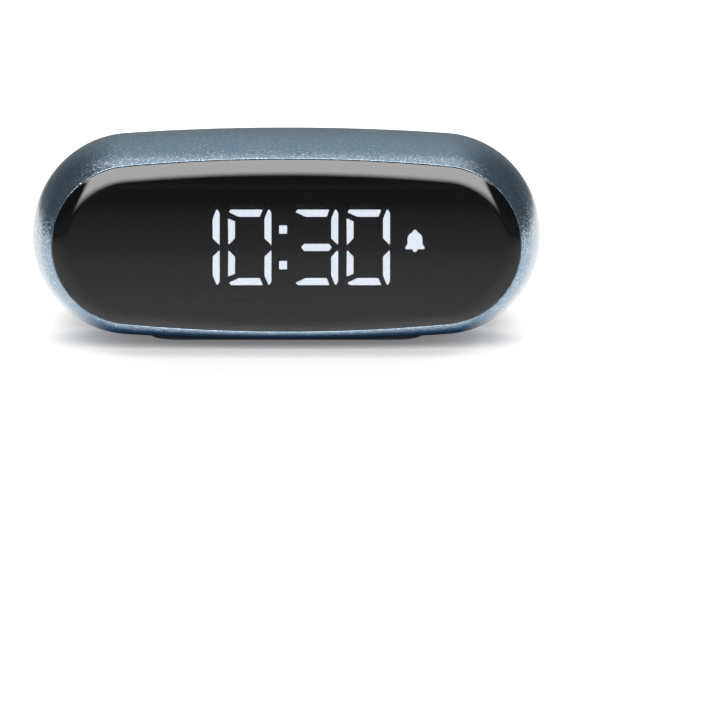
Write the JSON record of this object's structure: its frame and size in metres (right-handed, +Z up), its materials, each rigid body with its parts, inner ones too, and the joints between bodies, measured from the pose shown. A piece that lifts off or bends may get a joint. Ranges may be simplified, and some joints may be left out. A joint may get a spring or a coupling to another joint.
{
  "type": "digital alarm clock",
  "caption": "Pill-shaped bedside digital alarm clock with a metallic case, smoked lens, lit seven-segment time display and keys at the rear.",
  "frame": {"origin": "middle of the footprint on the resting surface, half-way between the lens's foremost point and the keys' tops", "axes": "+X along the clock's width, to the right of someone reading the display; -Y out of the display; +Z up"},
  "size_m": [0.0864, 0.033, 0.0358],
  "materials": {
    "case_lacquer": "moulded ABS with a steel-blue metallic flake lacquer under clear coat",
    "panel_plastic": "fine spark-eroded black ABS",
    "smoked_lens": "smoked acrylic, polished",
    "foot_rubber": "moulded silicone rubber, matt",
    "key_plastic": "satin ABS",
    "black_plastic": "moulded, matt",
    "segment_window": "milky cast epoxy, lit white",
    "dark_window": "smoke-tinted cast epoxy, unlit",
    "board_laminate": "glass-epoxy laminate with green solder mask",
    "chip_plastic": "moulded epoxy",
    "steel": "nickel-plated",
    "brass": "turned",
    "cell_foil": "laminated pouch foil",
    "foam": "closed-cell foam",
    "wire_plastic": "extruded PVC",
    "cable_film": "polyester film",
    "clear_plastic": "clear polycarbonate"
  },
  "bodies": {
    "case": {"front_shell": "case_lacquer", "rear_shell": "case_lacquer", "front_lens": "smoked_lens", "lens_tape": "foam", "foot_pad": "foot_rubber", "display_housing": "black_plastic", "lit_segments": "segment_window", "unlit_segments": "dark_window", "colon_dots": "segment_window", "bell_symbol": "segment_window", "light_chips": "clear_plastic", "display_base": "board_laminate", "display_pins": "steel", "display_board": "board_laminate", "display_board_screws": "steel", "light_driver": "chip_plastic", "control_board": "board_laminate", "control_board_screws": "steel", "microcontroller": "chip_plastic", "clock_crystal": "steel", "charge_controller": "chip_plastic", "board_capacitors": "chip_plastic", "battery_cell": "cell_foil", "battery_tape": "foam", "battery_leads": "wire_plastic", "battery_plug": "black_plastic", "battery_socket": "black_plastic", "ribbon_cable": "cable_film", "ribbon_sockets": "black_plastic", "rear_panel": "panel_plastic", "case_screws": "steel", "threaded_inserts": "brass", "key_switches": "black_plastic", "slide_switch_body": "steel", "port_shell": "steel", "port_tongue": "black_plastic", "charge_light": "clear_plastic", "charge_light_pipe": "clear_plastic", "buzzer_case": "black_plastic", "buzzer_coil": "brass", "buzzer_diaphragm": "steel", "buzzer_gasket": "foam", "sound_mesh": "steel"},
    "clock_button": {"clock_key": "key_plastic", "clock_plunger": "black_plastic"},
    "alarm_button": {"alarm_key": "key_plastic", "alarm_plunger": "black_plastic"},
    "minus_button": {"minus_key": "key_plastic", "minus_plunger": "black_plastic"},
    "plus_button": {"plus_key": "key_plastic", "plus_plunger": "black_plastic"},
    "alarm_switch": {"slide_knob": "key_plastic", "slide_switch_lever": "black_plastic"}
  },
  "joints": [
    {"name": "clock_press", "type": "slide", "parent": "case", "child": "clock_button", "axis": [0, -1, 0], "range_m": [0, 0.0004], "stiffness_N_per_m": 1500},
    {"name": "alarm_press", "type": "slide", "parent": "case", "child": "alarm_button", "axis": [0, -1, 0], "range_m": [0, 0.0004], "stiffness_N_per_m": 1500},
    {"name": "minus_press", "type": "slide", "parent": "case", "child": "minus_button", "axis": [0, -1, 0], "range_m": [0, 0.0004], "stiffness_N_per_m": 1500},
    {"name": "plus_press", "type": "slide", "parent": "case", "child": "plus_button", "axis": [0, -1, 0], "range_m": [0, 0.0004], "stiffness_N_per_m": 1500},
    {"name": "alarm_slide", "type": "slide", "parent": "case", "child": "alarm_switch", "axis": [-1, 0, 0], "range_m": [0, 0.002]}
  ]
}
